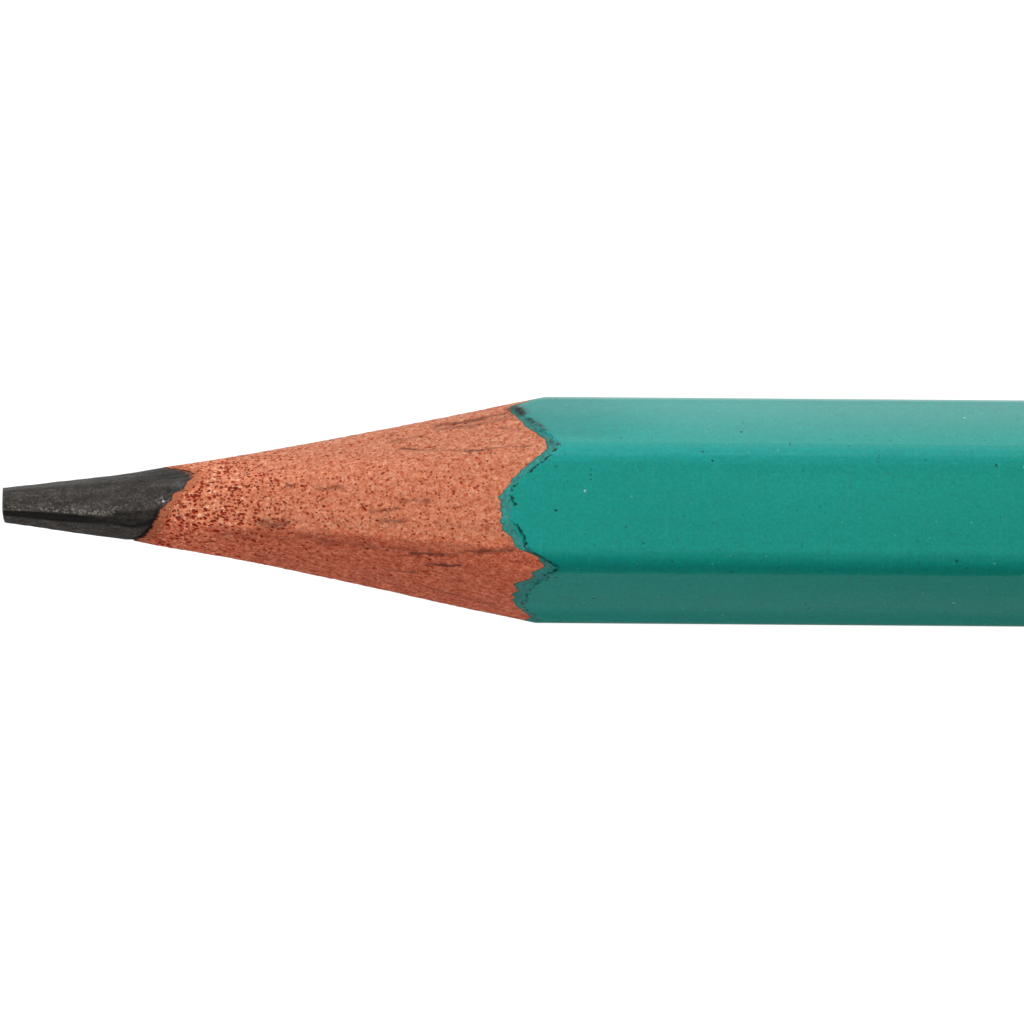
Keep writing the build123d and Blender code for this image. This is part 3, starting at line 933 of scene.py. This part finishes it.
# red all round the coarse pores
col = w.mix(w.math("MULTIPLY", w.span(pit, 0.0, 0.30), 0.7), col, lin(192, 70, 36))
# painted shade on the lower flat: darker in green and blue, redder
low_shade_col = w.mix(1.0, col, (1.10, 0.775, 0.71, 1.0), "MULTIPLY")
col = w.mix(low, col, low_shade_col)
col = w.mix(w.span(w.axis(1), 0.4, 2.2), col, w.mix(1.0, col, (0.83, 0.90, 0.94, 1.0), "MULTIPLY"))
# long fibres, dark and thin
fibre = w.noise(1.0, 4, 0.75, (0.22, 7.5, 7.5), (0, 4, 1))
fibre_on = w.noise(0.5, 2, 0.5, (0.5, 1.2, 1.2), (7, 0, 1))
fibres = w.math("MULTIPLY", w.span(fibre, 0.58, 0.70), w.span(fibre_on, 0.48, 0.62, 0.12, 0.75, False))
col = w.mix(w.math("MULTIPLY", fibres, 0.55), col, lin(136, 70, 52))
dark = w.attr("dark")
streaky = w.noise(1.0, 4, 0.75, (1.6, 11, 11), (0, 4, 1))
dark = w.math("MULTIPLY", dark, w.span(streaky, 0.30, 0.56, 0.35, 1.3, False), True)
col = w.mix(w.math("MULTIPLY", dark, 0.90), col, lin(84, 46, 38))
# faint grey of rubbed graphite
smear = w.noise(0.9, 4, 0.65, (0.4, 1.3, 1.3), (6, 6, 6))
col = w.mix(w.span(smear, 0.56, 0.80, 0.0, 0.28), col, lin(140, 92, 78))
edge_in = w.attr("edge_in")
near_lead = w.span(w.math("ADD", edge_in, w.span(fine, 0.3, 0.7, -0.10, 0.10, False)), 0.18, 0.52, 1.0, 0.0)
col = w.mix(w.math("MULTIPLY", near_lead, 0.76), col, lin(164, 90, 60))
rim = w.span(edge_in, 0.0, 0.05, 1.0, 0.0)
col = w.mix(w.math("MULTIPLY", rim, 0.3), col, lin(110, 60, 42))
pore_col = w.ramp(w.noise(5.0, 2, 0.5, (1, 1, 1), (3, 3, 3)), (0.35, lin(92, 10, 2)), (0.65, lin(156, 36, 14)))
col = w.mix(w.math("MULTIPLY", hole, w.span(nose, 0, 1, 0.84, 0.96, False)), col, pore_col)
# the sawn end: paler, with growth rings and saw marks
ring_x = w.noise(0.5, 3, 0.6, (0.0, 1.0, 3.5))
end_col = w.ramp(ring_x, (0.3, lin(184, 112, 84)), (0.5, lin(214, 150, 118)), (0.7, lin(196, 124, 94)))
end_col = w.scaled(end_col, w.span(w.noise(9.0, 3, 0.7, (0, 1, 1)), 0.25, 0.75, 0.78, 1.2, False))
end_dot, end_r, _ = w.cells(7.0, (0.0, 1, 1), (0, 0, 0))
end_col = w.mix(w.math("MULTIPLY", w.span(end_dot, 0.12, 0.3, 0.8, 0.0), w.span(end_r, 0.4, 0.5)), end_col, lin(120, 58, 38))
at_end = w.span(along_t, 171.9, 171.96)
col = w.mix(at_end, col, end_col)
w.set(Base_Color=col, Roughness=w.span(fine, 0.2, 0.8, 0.62, 0.86, False), Specular_IOR_Level=0.25)
w.bump(w.noise(14.0, 4, 0.7, (0.5, 1, 1), (4, 4, 4)), 0.016, 0.9)
w.bump(w.math("SUBTRACT", 1.0, w.math("MAXIMUM", hole, w.math("MULTIPLY", fibres, 0.4))), 0.022, 0.9)
for ob in (upper, lower):
    ob.data.materials.append(w.m)

# --- graphite
g = Mat("graphite")
tone = g.noise(4.5, 5, 0.66, (0.45, 1, 1))
gcol = g.ramp(tone, (0.30, lin(47, 43, 40)), (0.5, lin(61, 56.5, 53)), (0.72, lin(80, 75, 71)))
grit = g.noise(11.0, 3, 0.8, (0.9, 1, 1), (2, 1, 5))
gcol = g.scaled(gcol, g.span(grit, 0.25, 0.75, 0.26, 1.74, False))
line_n = g.noise(1.0, 3, 0.6, (0.35, 7, 7), (1, 2, 3))
gcol = g.mix(g.span(line_n, 0.60, 0.72, 0.0, 0.45), gcol, lin(34, 32, 31))
# painted sparkle and glints: paler flakes and near-white points where spark is high
spark = g.attr("spark")
patch = g.noise(13.0, 2, 0.6, (0.9, 1, 1), (4, 2, 2))
flake = g.span(g.math("ADD", patch, g.math("MULTIPLY", g.math("MINIMUM", spark, 1.0), 0.11)), 0.57, 0.68)
gcol = g.mix(g.math("MULTIPLY", flake, g.span(spark, 0.0, 0.7, 0.45, 0.85)), gcol, lin(120, 115, 110))
sp_d, sp_r, sp_q = g.cells(9.0, (0.9, 1, 1), (4, 2, 2), 0.03, 20)
glint = g.math("MULTIPLY", g.span(sp_d, 0.26, 0.52, 1.0, 0.0), g.span(sp_r, g.span(spark, 1.0, 2.0, 1.01, 0.24, False), g.span(spark, 1.0, 2.0, 1.02, 0.32, False)))
gcol = g.mix(glint, gcol, g.ramp(sp_q, (0.1, lin(140, 138, 136)), (0.7, lin(248, 248, 246))))
# painted light: the lower flat made paler
gcol = g.scaled(gcol, g.math("ADD", g.attr("low"), 1.0))
band_shade = g.attr("band_shade")
# painted light and shade by direction round the lead
gcol = g.scaled(gcol, g.attr("painted_light_shade"))
gcol = g.mix(g.math("MULTIPLY", g.attr("blue"), 0.42), gcol, g.ramp(grit, (0.38, lin(46, 50, 51)), (0.62, lin(106, 112, 112))))
# painted shade on the narrow flat and in the recess at the lead's end
gcol = g.mix(g.math("MULTIPLY", g.math("MINIMUM", band_shade, 1.0), g.span(grit, 0.30, 0.70, 0.99, 0.80, False)), gcol, lin(35, 34, 32))
gcol = g.scaled(gcol, g.span(band_shade, 1.0, 1.45, 1.0, 0.58, False))  # painted shade in the crease at its foot
# painted shadow along the lead's edge where it goes into the wood, except on its +Y side
rim_l = g.span(g.attr("rim"), -0.02, 0.08, 1.0, 0.0)
gcol = g.mix(g.math("MULTIPLY", rim_l, 0.75), gcol, lin(22, 20, 20))
# painted shade on the tip's front face, and a painted highlight along its edge
face = g.attr("face")
gcol = g.mix(g.span(face, 0.2, 0.8, 0.0, 0.8), gcol, lin(24, 22, 22))
gcol = g.mix(g.math("MULTIPLY", g.span(face, -0.3, -0.9), g.span(grit, 0.42, 0.55)), gcol, lin(122, 118, 114))
sheen = g.math("SUBTRACT", 0.42, g.math("MULTIPLY", g.span(g.attr("along"), 2.6, 3.4, 0.0, 0.15), g.span(g.attr("painted_light_shade"), 0.55, 0.85, 1.0, 0.0)))
g.set(Base_Color=gcol, Roughness=g.span(grit, 0.3, 0.7, 0.40, 0.66, False), Specular_IOR_Level=sheen, Specular_Tint=(1.0, 0.94, 0.88, 1.0))
g.bump(g.noise(6.0, 4, 0.7, (0.35, 1.2, 1.2), (1, 1, 1)), 0.016, 0.8)
g.bump(grit, 0.010, 0.8)
lead.data.materials.append(g.m)

# --- glue
gl = Mat("glue")
gl_col = gl.ramp(gl.noise(6, 3, 0.6), (0.3, lin(84, 44, 32)), (0.7, lin(132, 74, 52)))
gl.set(Base_Color=gl_col, Roughness=0.55)
gl.bump(gl.noise(16, 3, 0.6), 0.01, 0.6)
for ob in (bond, glue_l, glue_r):
    ob.data.materials.append(gl.m)

# --- lacquer seen from outside
c = Mat("teal_lacquer")
x = c.axis(0)
hue = c.mix(c.span(x, -68.0, -50.0, 0.0, 1.0, False), lin(11, 145, 133), lin(9, 140, 125.5))
patchy = c.noise(0.35, 3, 0.5, (0.35, 1, 1))
ccol = c.scaled(hue, c.span(patchy, 0.3, 0.7, 0.965, 1.035, False))
mott = c.noise(9.0, 3, 0.8)
ccol = c.scaled(ccol, c.span(mott, 0.3, 0.7, 0.85, 1.15, False))
faint = c.noise(3.2, 3, 0.7, (0.7, 1, 1), (3, 1, 7))
ccol = c.scaled(ccol, c.span(faint, 0.3, 0.7, 0.955, 1.045, False))
# painted shade across Y: less towards +Y, more towards -Y, most in a band where the top flat turns down to the -Y side
across_y = c.span(c.axis(1), -3.6, 3.6, 0.0, 1.0, False)
painted_shade_by_y = c.ramp(across_y, *[((y + 3.6) / 7.2, (v, v, v, 1.0)) for y, v in (
    (-3.6, 0.90), (-3.4, 0.985), (-2.25, 0.985), (-2.05, 0.83), (-1.75, 0.82), (-1.5, 0.895), (-1.35, 0.97), (-1.0, 0.98), (-0.54, 0.965), (0, 0.985), (1.6, 1.0), (1.93, 0.97), (2.4, 0.98), (3.6, 0.93))])
ccol = c.scaled(ccol, painted_shade_by_y)
# painted shade on the +Y side next to the cut
ccol = c.scaled(ccol, c.math("SUBTRACT", 1.0, c.math("MULTIPLY", c.span(x, -67.7, -62.8, 0.18, 0.0), c.span(c.axis(1), 2.15, 2.6, 0.0, 1.0))))
# and bluer towards +Y
ccol = c.mix(c.span(c.axis(1), 1.3, 1.9), ccol, c.mix(1.0, ccol, (0.98, 1.0, 1.075, 1.0), "MULTIPLY"))
# hairline scuffs across the barrel
scuff = c.noise(1.0, 4, 0.7, (9.0, 0.5, 0.5), (0, 3, 0))
ccol = c.mix(c.span(scuff, 0.56, 0.72, 0.0, 0.12), ccol, lin(74, 160, 148))
# dust and nicks, pale and dark
d1, r1, q1 = c.cells(3.0, (1, 1, 1), (5, 1, 9), 0.10, 7.0)
nick = c.span(q1, 0, 1, 0.07, 0.19, False)
dot1 = c.math("SUBTRACT", 1.0, c.span(c.math("DIVIDE", d1, nick), 0.7, 1.2))
d2, r2, q2 = c.cells(5.0, (1, 1, 1), (1, 2, 9), 0.10, 9.0)
speck = c.span(q2, 0, 1, 0.12, 0.27, False)
dot2 = c.math("SUBTRACT", 1.0, c.span(c.math("DIVIDE", d2, speck), 0.6, 1.2))
here = c.noise(0.55, 3, 0.6, (0.7, 1, 1), (11, 2, 5))  # they gather in places
pale_here, dark_here = c.span(here, 0.42, 0.62, 0.02, 0.36), c.span(here, 0.35, 0.60, 0.65, 0.12)
ccol = c.mix(c.math("MULTIPLY", c.math("MULTIPLY", dot2, c.span(r2, 0.86, 0.87)), pale_here), ccol, lin(104, 180, 168))
ccol = c.mix(c.math("MULTIPLY", c.math("MULTIPLY", dot2, c.span(r2, 0.13, 0.12)), dark_here), ccol, lin(12, 78, 68))
ccol = c.mix(c.math("MULTIPLY", c.math("MULTIPLY", dot1, c.span(r1, 0.988, 0.991)), 0.5), ccol, lin(196, 222, 208))
ccol = c.mix(c.math("MULTIPLY", c.math("MULTIPLY", dot1, c.span(r1, 0.09, 0.085)), 0.85), ccol, lin(14, 50, 46))
# dirt along the cut edge
since = c.attr("since")
edge_n = c.noise(8.0, 4, 0.7, (1, 1, 1), (8, 8, 8))
wide = c.span(edge_n, 0.35, 0.65, 0.04, 0.14, False)
over = c.span(edge_n, 0.42, 0.62, 0.035, 0.13, False)
line = c.math("MULTIPLY", c.span(since, c.math("MULTIPLY", wide, -1.0), -0.01), c.math("SUBTRACT", 1.0, c.span(since, c.math("MULTIPLY", over, 0.4), over)))
line = c.math("MULTIPLY", line, c.span(c.math("ADD", edge_n, c.span(c.attr("gate"), 0.0, 1.0, -0.26, 0.06, False)), 0.43, 0.52))
ccol = c.mix(c.math("MULTIPLY", line, 0.94), ccol, lin(13, 50, 46))
sm = c.math("MULTIPLY", c.attr("smudge"), c.span(edge_n, 0.34, 0.60, 0.45, 1.0), True)
ccol = c.mix(sm, ccol, lin(22, 38, 36))
# its gloss: duller towards the foot of the +Y flat, most of all beside the cut
def by_y(points):
    return c.ramp(across_y, *[((y + 3.6) / 7.2, (v, v, v, 1.0)) for y, v in points])


gloss = by_y(((-3.6, 0.36), (-3.45, 0.66), (-3.3, 0.96), (-3.0, 0.92), (-2.7, 0.84), (-2.2, 0.80), (1.7, 0.82), (1.93, 0.62), (2.08, 0.93), (2.2, 0.96), (2.3, 0.55), (2.45, 0.58), (2.6, 0.68), (2.76, 0.70), (2.96, 0.74), (3.17, 0.76), (3.38, 0.83), (3.6, 0.80)))
dull = by_y(((2.14, 1.0), (2.35, 0.72), (2.55, 0.50), (2.76, 0.52), (2.96, 0.565), (3.17, 0.64), (3.38, 0.80), (3.58, 1.0)))
neck = c.span(x, -65.6, -61.6, 1.0, 0.0)
gloss = c.math("MULTIPLY", c.math("MULTIPLY", gloss, 0.625), c.math("SUBTRACT", 1.0, c.math("MULTIPLY", neck, c.math("SUBTRACT", 1.0, dull))))
c.set(Base_Color=ccol, Roughness=c.span(c.noise(2.2, 4, 0.6), 0.3, 0.7, 0.13, 0.19, False), Specular_IOR_Level=gloss)
c.bump(c.noise(1.4, 3, 0.5, (0.5, 1, 1), (5, 5, 5)), 0.006, 0.35)
c.bump(c.math("MULTIPLY", dot2, 0.5), 0.006, 0.5)
clear.data.materials.append(c.m)

# --- lacquer's colour coat where it was cut through
k = Mat("cut_lacquer")
kn = k.noise(8.0, 4, 0.65)
kcol = k.ramp(kn, (0.32, lin(36, 124, 116)), (0.55, lin(52, 143, 136)), (0.75, lin(82, 160, 154)))
crack = k.math("ABSOLUTE", k.math("SUBTRACT", k.noise(2.6, 3, 0.6, (1.0, 1, 1), (2, 2, 2)), 0.5))
kcol = k.mix(k.span(crack, 0.004, 0.022, 0.62, 0.0), kcol, lin(24, 76, 72))
blot = k.noise(4.5, 3, 0.7, (1.0, 1, 1), (12, 2, 2))
kcol = k.mix(k.span(blot, 0.58, 0.70, 0.0, 0.5), kcol, lin(88, 122, 116))
k_sm = k.math("MULTIPLY", k.attr("smudge"), k.span(kn, 0.34, 0.60, 0.45, 1.0), True)
kcol = k.mix(k_sm, kcol, lin(30, 48, 46))
kcol = k.scaled(kcol, k.span(k.axis(1), 1.3, 2.5, 1.0, 0.66))
k.set(Base_Color=kcol, Roughness=0.6, Specular_IOR_Level=0.35)
k.bump(kn, 0.01, 0.8)
colour.data.materials.append(k.m)

# --- primer
pr = Mat("primer")
pn = pr.noise(9.0, 4, 0.65)
pcol = pr.ramp(pn, (0.32, lin(40, 116, 106)), (0.55, lin(60, 140, 133)), (0.75, lin(90, 156, 150)))
inner = pr.span(pr.attr("across"), 0.30, 0.70, 1.0, 0.0)
pcol = pr.mix(pr.math("MULTIPLY", inner, pr.span(pn, 0.36, 0.60, 0.20, 0.80)), pcol, lin(78, 86, 58))
pr_sm = pr.math("MULTIPLY", pr.attr("smudge"), pr.span(pn, 0.34, 0.60, 0.45, 1.0), True)
pcol = pr.mix(pr_sm, pcol, lin(38, 48, 44))
pcol = pr.scaled(pcol, pr.span(pr.axis(1), 1.3, 2.5, 1.0, 0.66))
pr.set(Base_Color=pcol, Roughness=0.7, Specular_IOR_Level=0.3)
pr.bump(pn, 0.01, 0.8)
primer.data.materials.append(pr.m)

# --------------------------------------------------------------------- stage


def plane(name, z, size):
    me = bpy.data.meshes.new(name)
    s = size
    me.from_pydata([(-s, -s, z), (s, -s, z), (s, s, z), (-s, s, z)], [], [(0, 1, 2, 3)])
    ob = bpy.data.objects.new(name, me)
    bpy.context.scene.collection.objects.link(ob)
    return ob


def stage_mat(name, colour, glow):
    m = bpy.data.materials.new(name)
    m.use_nodes = True
    p = m.node_tree.nodes["Principled BSDF"]
    p.inputs["Base Color"].default_value = (*colour, 1)
    p.inputs["Roughness"].default_value = 0.9
    p.inputs["Specular IOR Level"].default_value = 0.0
    p.inputs["Emission Color"].default_value = (1, 1, 1, 1)
    p.inputs["Emission Strength"].default_value = glow
    return m


floor = plane("floor", -0.0002, 9.0)  # what the camera sees
floor.data.materials.append(stage_mat("floor", (0.24, 0.24, 0.24), 0.93))
floor.visible_diffuse = floor.visible_glossy = floor.visible_transmission = floor.visible_shadow = False
card = plane("floor_bounce", -0.0005, 9.0)  # what lights the object from below
card.data.materials.append(stage_mat("floor_bounce", (0.82, 0.82, 0.82), 0.0))
card.visible_camera = card.visible_glossy = False

world = bpy.data.worlds.new("studio")
bpy.context.scene.world = world
world.use_nodes = True
nt = world.node_tree
bg = nt.nodes["Background"]
tc = nt.nodes.new("ShaderNodeTexCoord")
sep = nt.nodes.new("ShaderNodeSeparateXYZ")
nt.links.new(tc.outputs["Generated"], sep.inputs[0])


def wnode(kind, **inputs):
    n = nt.nodes.new(kind)
    for key, v in inputs.items():
        n.inputs[key.replace("_", " ")].default_value = v
    return n


def wramp(value, lo, hi, stops):
    """A strength read off a ramp, for a value from lo to hi."""
    r = wnode("ShaderNodeMapRange", From_Min=lo, From_Max=hi)
    nt.links.new(value, r.inputs["Value"])
    c = nt.nodes.new("ShaderNodeValToRGB")
    e = c.color_ramp.elements
    while len(e) < len(stops):
        e.new(0.5)
    for el, (pos, v) in zip(e, stops):
        el.position = pos
        el.color = (v, v, v, 1)
    nt.links.new(r.outputs[0], c.inputs[0])
    return c.outputs[0]


def wmix(fac, a, b):
    n = nt.nodes.new("ShaderNodeMix")
    n.data_type = "FLOAT"
    nt.links.new(fac, n.inputs[0])
    for v, i in ((a, 2), (b, 3)):
        if isinstance(v, float):
            n.inputs[i].default_value = v
        else:
            nt.links.new(v, n.inputs[i])
    return n.outputs[0]


# what lights the object softly from all round
ambient = wramp(sep.outputs[1], -1, 1, ((0.0, 0.35), (0.5, 0.51), (1.0, 0.64)))
# what shows in its gloss: a dark ceiling, a pale wall on the +Y side, a pale table
above = wramp(sep.outputs[1], -1, 1, ((0.0, 0.016), (0.25, 0.016), (0.44, 0.065), (0.5, 0.137), (0.56, 0.21), (0.75, 0.32), (1.0, 0.58)))
GLOSS = 1.24
below = wramp(sep.outputs[1], -1, 1, ((0.0, 0.16), (0.045, 0.19), (0.095, 0.235), (0.17, 0.13), (0.5, 0.45), (0.82, 1.0), (0.905, 0.98), (0.935, 0.80), (0.96, 0.64), (1.0, 0.48)))
down = wnode("ShaderNodeMapRange", From_Min=-0.10, From_Max=-0.40)
down.interpolation_type = "SMOOTHSTEP"
nt.links.new(sep.outputs[2], down.inputs["Value"])
gloss = wmix(down.outputs[0], above, below)
path = nt.nodes.new("ShaderNodeLightPath")
strong = nt.nodes.new("ShaderNodeMath"); strong.operation = "MULTIPLY"
nt.links.new(gloss, strong.inputs[0]); strong.inputs[1].default_value = GLOSS
strength = wmix(path.outputs["Is Glossy Ray"], ambient, strong.outputs[0])
strength = wmix(path.outputs["Is Camera Ray"], strength, 0.97)
nt.links.new(strength, bg.inputs["Strength"])
bg.inputs["Color"].default_value = (1, 1, 1, 1)
world.cycles.sampling_method = "NONE"


def area(name, aim, direction, distance, size, power, glossy=True):
    d = bpy.data.lights.new(name, "AREA")
    d.shape = "DISK"
    d.size = size
    d.energy = power
    ob = bpy.data.objects.new(name, d)
    v = Vector(direction).normalized()
    ob.location = Vector(aim) + v * distance
    ob.rotation_mode = "QUATERNION"
    ob.rotation_quaternion = (-v).to_track_quat("-Z", "Y")
    ob.visible_camera = False
    ob.visible_glossy = glossy
    bpy.context.scene.collection.objects.link(ob)
    return ob


MIDDLE = (0.0, 0.0, 0.0035)
area("key", MIDDLE, (-0.15, 1.19, 1.0), 2.2, 1.1, 32.0, False)
area("fill_top", MIDDLE, (0.2, -0.15, 1.0), 2.2, 1.6, 6.0, False)

# -------------------------------------------------------------------- camera
# A square picture, VIEW mm across, whose left side is just before the tip.
VIEW, BEFORE, ABOVE = 35.177, 0.069, 0.081
cam = bpy.data.cameras.new("camera")
cam.sensor_width = 36.0
cam.lens = 500.0
cam_ob = bpy.data.objects.new("camera", cam)
bpy.context.scene.collection.objects.link(cam_ob)
tilt, roll = math.radians(88.35), math.radians(0.4326)
back = Vector((0, -math.cos(tilt), math.sin(tilt)))
along = Vector((1, 0, 0))
up0 = back.cross(along)
right = along * math.cos(roll) + up0 * math.sin(roll)
up = -along * math.sin(roll) + up0 * math.cos(roll)
centre = Vector((TIP - BEFORE + VIEW / 2, 0, MID_Z)) * MM - up * (ABOVE * MM)
far = VIEW * MM * cam.lens / cam.sensor_width
m = Matrix((right, up, back)).transposed().to_4x4()
m.translation = centre + back * far
cam_ob.matrix_world = m
cam.clip_start, cam.clip_end = 0.01, 50
bpy.context.scene.camera = cam_ob
bpy.context.scene.view_settings.view_transform = "Standard"
